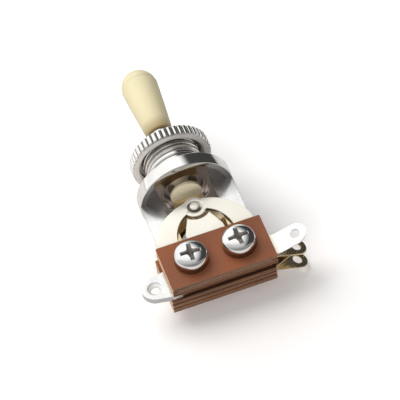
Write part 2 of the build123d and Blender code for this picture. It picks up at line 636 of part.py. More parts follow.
# Screws, insulating sleeves and nuts
screw_end_y = STACK_REAR_Y + SCREW_NUT_THICKNESS + SCREW_END
head_top_y = FRONT_PLATE_Y - HEAD_HEIGHT
shoulder_y = FRONT_PLATE_Y - HEAD_EDGE
into_head = Plane(origin=(0, head_top_y, 0), x_dir=(1, 0, 0), z_dir=(0, 1, 0))
for side, screw_x in (("left", -SCREW_X), ("right", SCREW_X)):
    with BuildPart() as screw:
        with BuildSketch(Plane.XY.offset(SCREW_Z)):
            with BuildLine():
                Polyline(
                    (screw_x, head_top_y),
                    (screw_x, screw_end_y),
                    (screw_x + SCREW_R - SCREW_END_CHAMFER, screw_end_y),
                    (screw_x + SCREW_R, screw_end_y - SCREW_END_CHAMFER),
                    (screw_x + SCREW_R, FRONT_PLATE_Y),
                    (screw_x + HEAD_R, FRONT_PLATE_Y),
                    (screw_x + HEAD_R, shoulder_y),
                )
                Bezier(
                    (screw_x + HEAD_R, shoulder_y),
                    (screw_x + HEAD_R, shoulder_y + HEAD_FULLNESS * (head_top_y - shoulder_y)),
                    (screw_x + HEAD_FULLNESS * HEAD_R, head_top_y),
                    (screw_x, head_top_y),
                )
            make_face()
        revolve(axis=Axis((screw_x, 0, SCREW_Z), (0, 1, 0)))
        with BuildSketch(into_head):
            with Locations(Location((screw_x, -SCREW_Z), RECESS_TURNS[side])):
                Rectangle(RECESS_SPAN, RECESS_WIDTH)
                Rectangle(RECESS_WIDTH, RECESS_SPAN)
        extrude(amount=RECESS_DEPTH, taper=RECESS_TAPER, mode=Mode.SUBTRACT)
    finish(screw.part, f"{side}_screw")

    with BuildPart() as sleeve:
        with BuildSketch(facing(FRONT_LEAF_Y)):
            with Locations((screw_x, SCREW_Z)):
                Circle(SLEEVE_R)
                Circle(SCREW_HOLE_R, mode=Mode.SUBTRACT)
        extrude(amount=FRONT_LEAF_Y - REAR_PLATE_Y)
    finish(sleeve.part, f"{side}_sleeve")

    with BuildPart() as screw_nut:
        with BuildSketch(facing(STACK_REAR_Y)):
            with Locations((screw_x, SCREW_Z)):
                RegularPolygon(NUT_FLATS / 2, 6, major_radius=False)
                Circle(SCREW_R, mode=Mode.SUBTRACT)
        extrude(amount=-SCREW_NUT_THICKNESS)
    finish(screw_nut.part, f"{side}_nut")
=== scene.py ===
"""Three-way guitar toggle switch on a white table, lying on its back.

Every place comes from the frame's boxes, in metres. MM turns the sizes of turned details into metres.
"""

from math import atan2, cos, pi, radians, sin, sqrt, tan

import bmesh
import bpy
from mathutils import Matrix, Vector


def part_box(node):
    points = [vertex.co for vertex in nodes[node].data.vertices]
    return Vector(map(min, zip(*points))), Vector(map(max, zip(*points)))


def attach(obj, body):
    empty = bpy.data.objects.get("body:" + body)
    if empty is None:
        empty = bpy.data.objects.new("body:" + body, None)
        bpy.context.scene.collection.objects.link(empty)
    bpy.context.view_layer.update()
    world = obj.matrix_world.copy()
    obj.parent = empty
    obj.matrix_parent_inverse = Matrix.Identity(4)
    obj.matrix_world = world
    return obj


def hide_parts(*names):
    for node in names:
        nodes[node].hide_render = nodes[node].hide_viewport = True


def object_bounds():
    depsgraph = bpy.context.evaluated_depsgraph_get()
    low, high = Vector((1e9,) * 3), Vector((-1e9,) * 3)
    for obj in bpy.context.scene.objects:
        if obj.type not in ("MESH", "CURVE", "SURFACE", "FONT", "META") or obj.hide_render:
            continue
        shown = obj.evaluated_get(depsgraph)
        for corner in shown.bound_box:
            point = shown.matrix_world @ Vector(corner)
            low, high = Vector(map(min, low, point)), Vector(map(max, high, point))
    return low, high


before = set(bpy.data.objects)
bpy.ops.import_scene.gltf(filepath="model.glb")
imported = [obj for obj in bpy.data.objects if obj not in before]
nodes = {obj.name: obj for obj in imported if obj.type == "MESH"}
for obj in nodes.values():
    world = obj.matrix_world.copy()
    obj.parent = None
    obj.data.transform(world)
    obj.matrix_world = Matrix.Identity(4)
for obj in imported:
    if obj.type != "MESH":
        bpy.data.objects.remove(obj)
cad_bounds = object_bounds()
MM = 0.001

# Camera: across the front of the stack, from below the flange
VIEW_AZIMUTH = radians(-9.0225)  # 0 looks along +Y
VIEW_ELEVATION = radians(-37.0390)
VIEW_ROLL = radians(-23.8018)
CAMERA_DISTANCE = 507.64 * MM

camera_data = bpy.data.cameras.new("camera")
camera = bpy.data.objects.new("camera", camera_data)
bpy.context.scene.collection.objects.link(camera)
camera.matrix_world = (
    Matrix.Rotation(VIEW_AZIMUTH, 4, "Z")
    @ Matrix.Rotation(pi / 2 - VIEW_ELEVATION, 4, "X")
    @ Matrix.Rotation(VIEW_ROLL, 4, "Z")
    @ Matrix.Translation((0, 0, CAMERA_DISTANCE))
)
camera_data.sensor_width = 36
camera_data.lens = 224.2
camera_data.shift_x = 0.0430
camera_data.shift_y = -0.0352
camera_data.clip_start = 0.01
camera_data.clip_end = 20
bpy.context.scene.camera = camera

# ---------------------------------------------------------------- sizes that materials and meshes share
CUP_R = 8.6 * MM
THREAD_R = 6.0 * MM
NUT_R = 8.6 * MM
GROUND_LUG_R = 2.75 * MM
GROUND_HOLE_Z = -23.2 * MM
plate_low, plate_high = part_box("front_plate")
bushing_low, bushing_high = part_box("bushing")
frame_low, frame_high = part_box("frame")
nut_low, nut_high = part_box("knurled_nut")
lever_low, lever_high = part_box("lever")
tip_low, tip_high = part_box("lever_tip")


# ---------------------------------------------------------------- mesh tools
def new_object(name, mesh, slot, body, replaced, sharp):
    """Puts a mesh in the scene in place of CAD nodes, on their body, smooth but for its sharp edges."""
    mesh.shade_smooth()
    mesh.set_sharp_from_angle(angle=radians(sharp))
    piece = bpy.data.objects.new(name, mesh)
    bpy.context.scene.collection.objects.link(piece)
    mesh.materials.append(materials[slot])
    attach(piece, body)
    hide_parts(*replaced)


CORNER_STEPS = 4


def softened(points, radius, steps=CORNER_STEPS):
    """A closed outline of (r, z) points with each corner rounded."""
    result = []
    count = len(points)
    for i, corner in enumerate(points):
        p = Vector(corner)
        before = Vector(points[i - 1]) - p
        after = Vector(points[(i + 1) % count]) - p
        if before.length < 1e-9 or after.length < 1e-9:
            continue
        turn = before.normalized().dot(after.normalized())
        if turn < -0.995:
            result.append(tuple(p))
            continue
        reach = min(radius, 0.45 * before.length, 0.45 * after.length)
        start = p + before.normalized() * reach
        end = p + after.normalized() * reach
        for k in range(steps + 1):
            t = k / steps
            point = start * (1 - t) ** 2 + p * (2 * t * (1 - t)) + end * t**2
            result.append((max(point.x, 0.0), point.y))
    return result


def turned(profile, segments, radius=None):
    """A closed mesh turned from a closed outline of (r, z) points; radius(r, z, angle) may shape it."""
    bm = bmesh.new()
    rings = []
    for r, z in profile:
        if r < 1e-6:
            rings.append([bm.verts.new((0, 0, z))])
            continue
        ring = []
        for k in range(segments):
            a = 2 * pi * k / segments
            rr = radius(r, z, a) if radius else r
            ring.append(bm.verts.new((rr * cos(a), rr * sin(a), z)))
        rings.append(ring)
    for i, low in enumerate(rings):
        high = rings[(i + 1) % len(rings)]
        if len(low) == 1 and len(high) == 1:
            continue
        for k in range(segments):
            j = (k + 1) % segments
            if len(low) == 1:
                bm.faces.new((low[0], high[j], high[k]))
            elif len(high) == 1:
                bm.faces.new((low[k], low[j], high[0]))
            else:
                bm.faces.new((low[k], low[j], high[j], high[k]))
    bmesh.ops.recalc_face_normals(bm, faces=bm.faces)
    mesh = bpy.data.meshes.new("turned")
    bm.to_mesh(mesh)
    bm.free()
    return mesh


def smooth_step(low, high, value):
    t = min(max((value - low) / (high - low), 0.0), 1.0)
    return t * t * (3 - 2 * t)


def thread(major, pitch, depth, z_start, z_end, run_out, roundness, start=0.0):
    """Radius function of a screw thread between two heights, fading out at both ends."""

    def radius(r, z, angle):
        if abs(r - major) > 1e-6 or not z_start < z < z_end:
            return r
        phase = (z / pitch - angle / (2 * pi) - start) % 1.0
        flank = abs(2 * phase - 1) ** roundness
        fade = smooth_step(0, run_out, z - z_start) * smooth_step(0, run_out, z_end - z)
        return major - depth * flank * fade

    return radius


def rows_between(r, z0, z1, step):
    """Points up a straight wall, close enough together to carry a thread."""
    count = max(2, int(abs(z1 - z0) / step))
    return [(r, z0 + (z1 - z0) * i / count) for i in range(count + 1)]


# ---------------------------------------------------------------- node tools
NOISE_ROUGHNESS = 0.55


def put(tree, socket, value):
    """Links a node's output to an input, or gives the input a plain value."""
    if isinstance(value, bpy.types.NodeSocket):
        tree.links.new(value, socket)
    else:
        socket.default_value = value


def maths(tree, operation, *values):
    """One step of arithmetic on sockets or numbers."""
    node = tree.nodes.new("ShaderNodeMath")
    node.operation = operation
    for socket, value in zip(node.inputs, values):
        put(tree, socket, value)
    return node.outputs[0]


def product(tree, first, *others):
    for other in others:
        first = maths(tree, "MULTIPLY", first, other)
    return first


def vector_maths(tree, operation, *values):
    """One step of vector arithmetic on sockets or vectors."""
    node = tree.nodes.new("ShaderNodeVectorMath")
    node.operation = operation
    for socket, value in zip(node.inputs, values):
        put(tree, socket, value)
    return node.outputs["Value" if operation in ("LENGTH", "DISTANCE") else "Vector"]


def value_range(tree, source, low, high, start=0.3, end=0.7, shape="LINEAR"):
    """Goes from low, where the source is at start, to high, where it is at end."""
    node = tree.nodes.new("ShaderNodeMapRange")
    node.interpolation_type = shape
    node.inputs["From Min"].default_value = start
    node.inputs["From Max"].default_value = end
    node.inputs["To Min"].default_value = low
    node.inputs["To Max"].default_value = high
    tree.links.new(source, node.inputs["Value"])
    return node.outputs["Result"]


def rising(tree, source, start, end):
    return value_range(tree, source, 0.0, 1.0, start, end)


def falling(tree, source, start, end):
    return value_range(tree, source, 1.0, 0.0, start, end)


def surface(tree, kind="Object"):
    """Where a point of the surface lies (Object, or Generated from 0 to 1), or how it faces (Normal)."""
    return tree.nodes.new("ShaderNodeTexCoord").outputs[kind]


def axes(tree, vector):
    """X, Y and Z of a vector."""
    split = tree.nodes.new("ShaderNodeSeparateXYZ")
    tree.links.new(vector, split.inputs["Vector"])
    return tuple(split.outputs)


def distance_from(tree, point, axis):
    """Distance of the surface from the line that runs through a point along an axis."""
    offset = vector_maths(tree, "SUBTRACT", surface(tree), point)
    across = tuple(float(letter != axis) for letter in "XYZ")
    return vector_maths(tree, "LENGTH", vector_maths(tree, "MULTIPLY", offset, across))


def noise(tree, scale, stretch=(1, 1, 1), detail=3.0):
    """Noise in the object's own coordinates; scale is in features per metre."""
    mapping = tree.nodes.new("ShaderNodeMapping")
    mapping.inputs["Scale"].default_value = stretch
    tree.links.new(surface(tree), mapping.inputs["Vector"])
    node = tree.nodes.new("ShaderNodeTexNoise")
    node.inputs["Scale"].default_value = scale
    node.inputs["Detail"].default_value = detail
    node.inputs["Roughness"].default_value = NOISE_ROUGHNESS
    tree.links.new(mapping.outputs["Vector"], node.inputs["Vector"])
    return node.outputs["Fac"]


def mixed(tree, factor, a, b):
    """Mixes two colours, each a socket or a tuple."""
    node = tree.nodes.new("ShaderNodeMix")
    node.data_type = "RGBA"
    for socket, value in ((node.inputs[0], factor), (node.inputs[6], a), (node.inputs[7], b)):
        put(tree, socket, (*value, 1) if isinstance(value, tuple) else value)
    return node.outputs[2]


def shader_of(material):
    return material.node_tree, material.node_tree.nodes["Principled BSDF"]


def start_material(name):
    material = bpy.data.materials.new(name)
    material.use_nodes = True
    return material, *shader_of(material)


def bump(tree, shader, height, distance, strength):
    node = tree.nodes.new("ShaderNodeBump")
    node.inputs["Strength"].default_value = strength
    node.inputs["Distance"].default_value = distance
    tree.links.new(height, node.inputs["Height"])
    tree.links.new(node.outputs["Normal"], shader.inputs["Normal"])


# ---------------------------------------------------------------- materials
TARNISH_SCALE = 240.0  # noise scales, in features per metre
STAIN_SCALE = 330.0
SPECK_SCALE = 1500.0
BRUSH_SCALE = 2200.0
BRASS_BRUSH = ((0.08, 1.0, 1.0), 0.0004)  # stretch and depth of scratches along X


def metal(name, base, tarnish, roughness, brush=(1, 1, 1), brush_depth=0.0006, metallic=1.0):
    """Plated metal: cloudy tarnish, faint scratches stretched by brush, and a slightly uneven polish."""
    material, tree, shader = start_material(name)
    shader.inputs["Metallic"].default_value = metallic
    cloud = noise(tree, TARNISH_SCALE, detail=4.0)
    specks = noise(tree, SPECK_SCALE, detail=2.0)
    colour = mixed(tree, rising(tree, cloud, 0.38, 0.68), base, tarnish)
    colour = mixed(tree, value_range(tree, specks, 0.0, 0.12, 0.5, 0.75), colour, tarnish)
    tree.links.new(colour, shader.inputs["Base Color"])
    streak = noise(tree, BRUSH_SCALE, stretch=brush)
    tree.links.new(value_range(tree, streak, *roughness), shader.inputs["Roughness"])
    bump(tree, shader, streak, brush_depth * MM, 0.4)
    return material


def stain_or_paint_light(material, amount, light, dark, extra_roughness=0.0):
    """Lays a cloudy colour over a material where amount is 1: real stains and finishes in some uses, painted
    shade or painted light in others.
    """
    tree, shader = shader_of(material)
    overlay_colour = mixed(tree, noise(tree, STAIN_SCALE, detail=4.0), light, dark)
    clean = shader.inputs["Base Color"].links[0].from_socket
    tree.links.new(mixed(tree, amount, clean, overlay_colour), shader.inputs["Base Color"])
    polish = shader.inputs["Roughness"].links[0].from_socket
    rough = maths(tree, "MULTIPLY_ADD", amount, extra_roughness, polish)
    tree.links.new(rough, shader.inputs["Roughness"])


def bushing_material():
    """Bright nickel outside, with painted shade in the thread's grooves, and dull with painted shade inside
    the cup, below the flange's top.
    """
    brush = (0.15, 0.15, 1.6)
    material = metal("bushing_nickel", (0.82, 0.81, 0.79), (0.74, 0.73, 0.70), (0.08, 0.13), brush)
    tree, _ = shader_of(material)
    radius = distance_from(tree, (0, 0, 0), "Z")
    _, _, z = axes(tree, surface(tree))
    # Painted shade: a darker, rougher colour inside the cup, below the flange's top.
    inside = falling(tree, radius, CUP_R - 0.05 * MM, CUP_R + 0.1 * MM)
    below = falling(tree, z, -0.3 * MM, 0.1 * MM)
    stain_or_paint_light(material, product(tree, inside, below), (0.74, 0.685, 0.66), (0.55, 0.505, 0.485), 0.04)
    # Painted shade: darker colour in the thread's grooves.
    groove = falling(tree, radius, THREAD_R - 0.42 * MM, THREAD_R - 0.14 * MM)
    above = rising(tree, z, 0.0, 0.2 * MM)
    stain_or_paint_light(material, product(tree, groove, above), (0.30, 0.26, 0.235), (0.19, 0.16, 0.14), 0.05)
    return material


def frame_material():
    """Satin nickel with painted shade under the cup and in the stack's gap; the lug is a little duller, with
    darker grey sides and a pale dish round its hole that is painted light.
    """
    plating = (0.86, 0.86, 0.85)
    brush = (1.0, 1.0, 0.06)
    material = metal("frame_nickel", plating, (0.81, 0.81, 0.80), (0.15, 0.21), brush, brush_depth=0.0003)
    tree, shader = shader_of(material)
    x, _, z = axes(tree, surface(tree))
    # Painted shade: a dark brown band along the frame's lower edge in the stack's gap, fading out towards the
    # lug.
    low = falling(tree, z, plate_low.z + 0.65 * MM, plate_low.z + 0.95 * MM)
    inner = rising(tree, x, plate_low.x - 0.3 * MM, plate_low.x + 3.2 * MM)
    stain_or_paint_light(material, product(tree, low, inner), (0.27, 0.145, 0.09), (0.19, 0.10, 0.06), 0.3)
    # Painted shade: darker grey on the frame's legs just under the cup.
    under_cup_shade = value_range(tree, z, 0.0, 0.7, -7.6 * MM, -3.4 * MM)
    stain_or_paint_light(material, under_cup_shade, (0.20, 0.185, 0.175), (0.14, 0.13, 0.12), 0.05)
    lug = falling(tree, x, plate_low.x - 0.2 * MM, plate_low.x + 0.3 * MM)
    stain_or_paint_light(material, lug, plating, (0.80, 0.80, 0.79), 0.06)
    _, facing_y, _ = axes(tree, surface(tree, "Normal"))
    edge = product(tree, lug, falling(tree, maths(tree, "ABSOLUTE", facing_y), 0.3, 0.8))
    stain_or_paint_light(material, edge, (0.56, 0.57, 0.58), (0.48, 0.49, 0.50))
    # Painted light: the dish round the lug's hole is paler and less metallic, so it shows lighter.
    hole = (frame_low.x + GROUND_LUG_R, 0, GROUND_HOLE_Z)
    dish = falling(tree, distance_from(tree, hole, "Y"), 1.15 * MM, 1.5 * MM)
    stain_or_paint_light(material, dish, (0.93, 0.93, 0.92), (0.88, 0.88, 0.87), 0.1)
    lug_metallic = value_range(tree, lug, 1.0, 0.78, 0.0, 1.0)
    dish_metallic = value_range(tree, dish, 1.0, 0.3, 0.0, 1.0)
    tree.links.new(product(tree, lug_metallic, dish_metallic), shader.inputs["Metallic"])
    return material


def contact_material():
    """Silver contacts; the front one is duller, with painted shade in the groove round the lower side of its
    dome.
    """
    material = metal("contact_silver", (0.88, 0.86, 0.80), (0.80, 0.75, 0.62), (0.14, 0.24))
    tree, shader = shader_of(material)
    low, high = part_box("front_contact")
    dome = ((low.x + high.x) / 2, low.y, (low.z + high.z) / 2)
    x, y, z = axes(tree, vector_maths(tree, "SUBTRACT", surface(tree), dome))
    # Painted shade: dark colour in the groove round the front dome, on its lower side.
    groove = rising(tree, distance_from(tree, dome, "Y"), 0.92 * MM, 1.0 * MM)
    front = falling(tree, y, 0.75 * MM, 0.85 * MM)
    lower = falling(tree, maths(tree, "ADD", x, z), 0.5 * MM, 1.1 * MM)
    groove_shade = product(tree, groove, front, lower)
    stain_or_paint_light(material, groove_shade, (0.22, 0.185, 0.16), (0.15, 0.125, 0.105), 0.25)
    tree.links.new(value_range(tree, front, 1.0, 0.35, 0.0, 1.0), shader.inputs["Metallic"])
    return material


def screw_material():
    """Bright chrome, with a painted contact shadow where the heads meet the front plate."""
    material = metal("screw_chrome", (0.80, 0.80, 0.79), (0.72, 0.72, 0.71), (0.06, 0.11), brush_depth=0.0003)
    tree, _ = shader_of(material)
    _, y, _ = axes(tree, surface(tree))
    # Painted shadow: dark brown on the head's side within about 1.5 mm of the front plate.
    outer = rising(tree, y, plate_low.y - 1.75 * MM, plate_low.y - 1.35 * MM)
    front = falling(tree, y, plate_low.y, plate_low.y + 0.3 * MM)
    stain_or_paint_light(material, product(tree, outer, front, 0.9), (0.30, 0.21, 0.17), (0.20, 0.13, 0.10), 0.1)
    return material


def nut_material():
    """Bright nickel lands, with painted shade in the grooves, and a duller underside whose paler colour is
    painted light.
    """
    material = metal("nut_nickel", (0.85, 0.84, 0.82), (0.78, 0.77, 0.75), (0.12, 0.17), (0.2, 0.2, 1.5))
    tree, shader = shader_of(material)
    radius = distance_from(tree, (0, 0, 0), "Z")
    _, _, z = axes(tree, surface(tree))
    # Painted shade: darker colour in the knurl's grooves.
    groove = falling(tree, radius, NUT_R - 0.36 * MM, NUT_R - 0.12 * MM)
    stain_or_paint_light(material, product(tree, groove, 0.85), (0.52, 0.495, 0.47), (0.40, 0.375, 0.35), 0.06)
    # The underside is duller and less metallic; its paler colour is painted light.
    under = falling(tree, z, nut_low.z + 0.1 * MM, nut_low.z + 0.5 * MM)
    flat = falling(tree, radius, NUT_R - 0.5 * MM, NUT_R - 0.2 * MM)
    dull = product(tree, under, flat)
    stain_or_paint_light(material, dull, (0.93, 0.88, 0.83), (0.82, 0.77, 0.72), 0.14)
    tree.links.new(value_range(tree, dull, 1.0, 0.35, 0.0, 1.0), shader.inputs["Metallic"])
    return material


def leaf_material():
    """Pale dull brass, tinned on the solder lug."""
    material = metal("leaf_brass", (0.94, 0.905, 0.81), (0.90, 0.86, 0.745), (0.19, 0.25), *BRASS_BRUSH)
    tree, shader = shader_of(material)
    x, _, _ = axes(tree, surface(tree))
    tinned = rising(tree, x, plate_high.x + 0.6 * MM, plate_high.x + 2.6 * MM)
    stain_or_paint_light(material, tinned, (0.95, 0.95, 0.95), (0.91, 0.91, 0.91))
    tree.links.new(value_range(tree, tinned, 0.5, 1.0, 0.0, 1.0), shader.inputs["Metallic"])
    return material


def lever_material():
    """Chromed rod; the foot disc and the shank inside the bushing are dull brass."""
    material, tree, shader = start_material("lever_chrome_and_brass")
    _, _, z = axes(tree, surface(tree))
    brass_to, chrome_from = 6.0 * MM, 7.0 * MM
    inside = falling(tree, z, brass_to, chrome_from)
    cloud = noise(tree, 420.0, detail=4.0)
    chrome = mixed(tree, cloud, (0.82, 0.82, 0.81), (0.74, 0.73, 0.72))
    brass = mixed(tree, cloud, (0.97, 0.87, 0.63), (0.92, 0.81, 0.56))
    tree.links.new(mixed(tree, inside, chrome, brass), shader.inputs["Base Color"])
    tree.links.new(value_range(tree, z, 0.05, 1.0, brass_to, chrome_from), shader.inputs["Metallic"])
    streak = noise(tree, BRUSH_SCALE, stretch=(0.2, 0.2, 1.6))
    polish = value_range(tree, streak, 0.12, 0.2)
    satin = value_range(tree, streak, 0.38, 0.5)
    tree.links.new(mixed(tree, inside, polish, satin), shader.inputs["Roughness"])
    bump(tree, shader, streak, 0.0006 * MM, 0.5)
    return material


def tip_material():
    """Cream moulded plastic with a soft glow and a faint mottle, with painted shade, browner, at its lower
    end.
    """
    material, tree, shader = start_material("tip_cream")
    cloud = noise(tree, 150.0)
    fine = noise(tree, 2200.0, detail=4.0)
    _, _, z = axes(tree, surface(tree))
    # Painted shade: browner colour over the lowest 3 mm of the tip.
    painted_low_shade = value_range(tree, z, 0.95, 0.0, tip_low.z + 0.2 * MM, tip_low.z + 3.2 * MM)
    colour = mixed(tree, cloud, (0.82, 0.745, 0.50), (0.775, 0.69, 0.44))
    colour = mixed(tree, value_range(tree, fine, 0.0, 0.10, 0.45, 0.8), colour, (0.76, 0.64, 0.37))
    colour = mixed(tree, painted_low_shade, colour, (0.46, 0.34, 0.155))
    tree.links.new(colour, shader.inputs["Base Color"])
    tree.links.new(value_range(tree, fine, 0.34, 0.46), shader.inputs["Roughness"])
    shader.inputs["Subsurface Weight"].default_value = 0.35
    shader.inputs["Subsurface Radius"].default_value = (1.0, 0.75, 0.45)
    shader.inputs["Subsurface Scale"].default_value = 0.9 * MM
    shader.inputs["Coat Weight"].default_value = 0.08
    shader.inputs["Coat Roughness"].default_value = 0.25
    shader.inputs["Specular IOR Level"].default_value = 0.35
    bump(tree, shader, fine, 0.004 * MM, 0.5)
    return material


PAPER_EDGE = (0.25, 0.13, 0.066)
PAPER_END = (0.95, 0.66, 0.38)
PAPER_SEAM = (0.055, 0.020, 0.009)


def phenolic(name, face, face_dark, front_seam=1.0):
    """Paper phenolic: mottled faces, cut edges with the paper's layers and dark seams, and paler cut ends."""
    material, tree, shader = start_material(name)
    facing_x, facing_y, _ = axes(tree, surface(tree, "Normal"))
    is_face = rising(tree, maths(tree, "ABSOLUTE", facing_y), 0.55, 0.85)
    is_end = rising(tree, maths(tree, "ABSOLUTE", facing_x), 0.5, 0.8)
    cloud = noise(tree, 130.0, detail=4.0)
    grain = noise(tree, 2000.0, detail=4.0)
    faces = mixed(tree, rising(tree, cloud, 0.35, 0.65), face, face_dark)
    faces = mixed(tree, value_range(tree, grain, 0.0, 0.3, 0.45, 0.75), faces, face_dark)
    layers = noise(tree, 900.0, stretch=(0.05, 4.0, 0.05), detail=2.0)
    edges = mixed(tree, value_range(tree, layers, 0.0, 0.9, 0.44, 0.62), PAPER_EDGE, PAPER_SEAM)
    edges = mixed(tree, is_end, edges, PAPER_END)
    edges = mixed(tree, value_range(tree, grain, 0.0, 0.35, 0.45, 0.75), edges, PAPER_SEAM)
    _, depth, _ = axes(tree, surface(tree, "Generated"))
    edges = mixed(tree, value_range(tree, depth, front_seam, 0.0, 0.06, 0.20), edges, PAPER_SEAM)
    edges = mixed(tree, rising(tree, depth, 0.80, 0.94), edges, PAPER_SEAM)
    tree.links.new(mixed(tree, is_face, edges, faces), shader.inputs["Base Color"])
    tree.links.new(value_range(tree, grain, 0.38, 0.52), shader.inputs["Roughness"])
    shader.inputs["Specular IOR Level"].default_value = 0.42
    bump(tree, shader, mixed(tree, is_face, layers, grain), 0.02 * MM, 0.35)
    return material


def insulator_phenolic(name):
    return phenolic(name, (0.28, 0.088, 0.030), (0.22, 0.072, 0.028))


def gap_shade_phenolic():
    """The insulator against the frame, with near-black painted shade where its face shows in the gap under
    the frame.
    """
    material = insulator_phenolic("gap_shade_phenolic")
    tree, _ = shader_of(material)
    x, _, z = axes(tree, surface(tree))
    _, facing_y, _ = axes(tree, surface(tree, "Normal"))
    # Painted shade: near black on the front face, low down and away from the lug end.
    front = falling(tree, facing_y, -0.8, -0.5)
    low = falling(tree, z, plate_low.z + 3.0 * MM, plate_low.z + 4.0 * MM)
    inner = rising(tree, x, plate_low.x + 0.5 * MM, plate_low.x + 2.0 * MM)
    stain_or_paint_light(material, product(tree, front, low, inner), (0.07, 0.024, 0.011), (0.045, 0.016, 0.008))
    return material


def sleeve_material():
    """Milky insulating tube."""
    material, tree, shader = start_material("sleeve_plastic")
    fine = noise(tree, 1600.0, detail=4.0)
    tree.links.new(mixed(tree, fine, (0.72, 0.70, 0.64), (0.60, 0.58, 0.52)), shader.inputs["Base Color"])
    tree.links.new(value_range(tree, fine, 0.35, 0.5), shader.inputs["Roughness"])
    bump(tree, shader, fine, 0.01 * MM, 0.4)
    return material


materials = {
    "bushing_metal": bushing_material(),
    "retainer_metal": metal(
        "retainer_steel", (0.46, 0.415, 0.38), (0.36, 0.32, 0.29), (0.3, 0.42), metallic=0.5
    ),
    "frame_metal": frame_material(),
    "screw_metal": screw_material(),
    # Painted shade: a darker, less metallic copy of the screws' chrome, for the inside of the cross recess.
    "screw_recess_shade": metal(
        "screw_recess_shade", (0.44, 0.40, 0.37), (0.27, 0.245, 0.225), (0.30, 0.40), metallic=0.15
    ),
    "nut_metal": nut_material(),
    "leaf_metal": leaf_material(),
    "spring_brass": metal(
        "spring_brass", (0.84, 0.70, 0.46), (0.76, 0.61, 0.37), (0.20, 0.28), *BRASS_BRUSH
    ),
    "contact_metal": contact_material(),
    "lever_metal": lever_material(),
    "tip_plastic": tip_material(),
    "plate_phenolic": phenolic(
        "plate_phenolic", (0.265, 0.085, 0.033), (0.225, 0.079, 0.037), front_seam=0.0
    ),
    "insulator_phenolic": insulator_phenolic("insulator_phenolic"),
    "gap_shade_phenolic": gap_shade_phenolic(),
    "sleeve_plastic": sleeve_material(),
}


# ---------------------------------------------------------------- CAD nodes that stay
def smooth_group():
    """Geometry nodes that shade a shape smooth without its own normals, for use as a modifier."""
    group = bpy.data.node_groups.new("smooth", "GeometryNodeTree")
    for way in ("INPUT", "OUTPUT"):
        group.interface.new_socket("Mesh", in_out=way, socket_type="NodeSocketGeometry")
    normals = group.nodes.new("GeometryNodeSetMeshNormal")
    group.links.new(group.nodes.new("NodeGroupInput").outputs[0], normals.inputs["Mesh"])
    group.links.new(normals.outputs["Mesh"], group.nodes.new("NodeGroupOutput").inputs[0])
    return group


smooth = smooth_group()


def keep(name, slot, edge, segments=3, material=None):
    """Rounds a CAD node's edges by a width in mm, all in modifiers, and gives it its material."""
    node = nodes[name]
    for index in range(len(node.material_slots)):
        node.material_slots[index].material = material or materials[slot]
    node.modifiers.new("smooth", "NODES").node_group = smooth
    weld = node.modifiers.new("weld", "WELD")
    weld.merge_threshold = 0.001 * MM
    bevel = node.modifiers.new("edge", "BEVEL")
    bevel.width = edge * MM
    bevel.segments = segments
    bevel.limit_method = "ANGLE"
    bevel.angle_limit = radians(40)
    bevel.use_clamp_overlap = True
    weighted = node.modifiers.new("normals", "WEIGHTED_NORMAL")
    weighted.keep_sharp = False
    weighted.weight = 100
    weighted.mode = "FACE_AREA"


for name in ("front_plate", "rear_plate"):
    keep(name, "plate_phenolic", 0.06)
for name in ("front_insulator", "front_inner_insulator", "rear_insulator"):
    keep(name, "insulator_phenolic", 0.04)
keep("rear_inner_insulator", "insulator_phenolic", 0.04, material=materials["gap_shade_phenolic"])
keep("front_leaf", "leaf_metal", 0.035, 2)
for name in ("front_common_leaf", "rear_common_leaf", "rear_leaf"):
    keep(name, "leaf_metal", 0.035, 2, materials["spring_brass"])
keep("frame", "frame_metal", 0.09)
keep("ball_retainer", "retainer_metal", 0.05)
for name in ("left_sleeve", "right_sleeve"):
    keep(name, "sleeve_plastic", 0.04)


# ---------------------------------------------------------------- bushing with its thread
FLANGE_R = bushing_high.x
RIM_Z = bushing_low.z
CEILING_Z = frame_high.z  # the frame's tabs stand against the cup's ceiling
BARREL_TOP = bushing_high.z
BARREL_CHAMFER = 0.6 * MM
BARREL_EDGE = 0.12 * MM
FLANGE_EDGE = 0.22 * MM
BUSHING_SEGMENTS = 160
THREAD_ROW = 0.05 * MM
THREAD_PITCH = 1.25 * MM
THREAD_DEPTH = 0.52 * MM
THREAD_START = 0.25 * MM
THREAD_END = BARREL_TOP - 0.2 * MM
THREAD_RUN_OUT = 0.45 * MM
THREAD_TURN = 0.268  # turns
THREAD_ROUNDNESS = 5.5  # 1 gives straight flanks, and more gives broader ridges
MOUTH_R = 4.1 * MM
PIVOT_Z = 5.0 * MM
SEAT_R = 3.55 * MM
SEAT_RISE = 1.8 * MM
SEAT_EDGE_R = 3.06 * MM
WELL_R = 5.18 * MM
WELL_TOP = -0.6 * MM


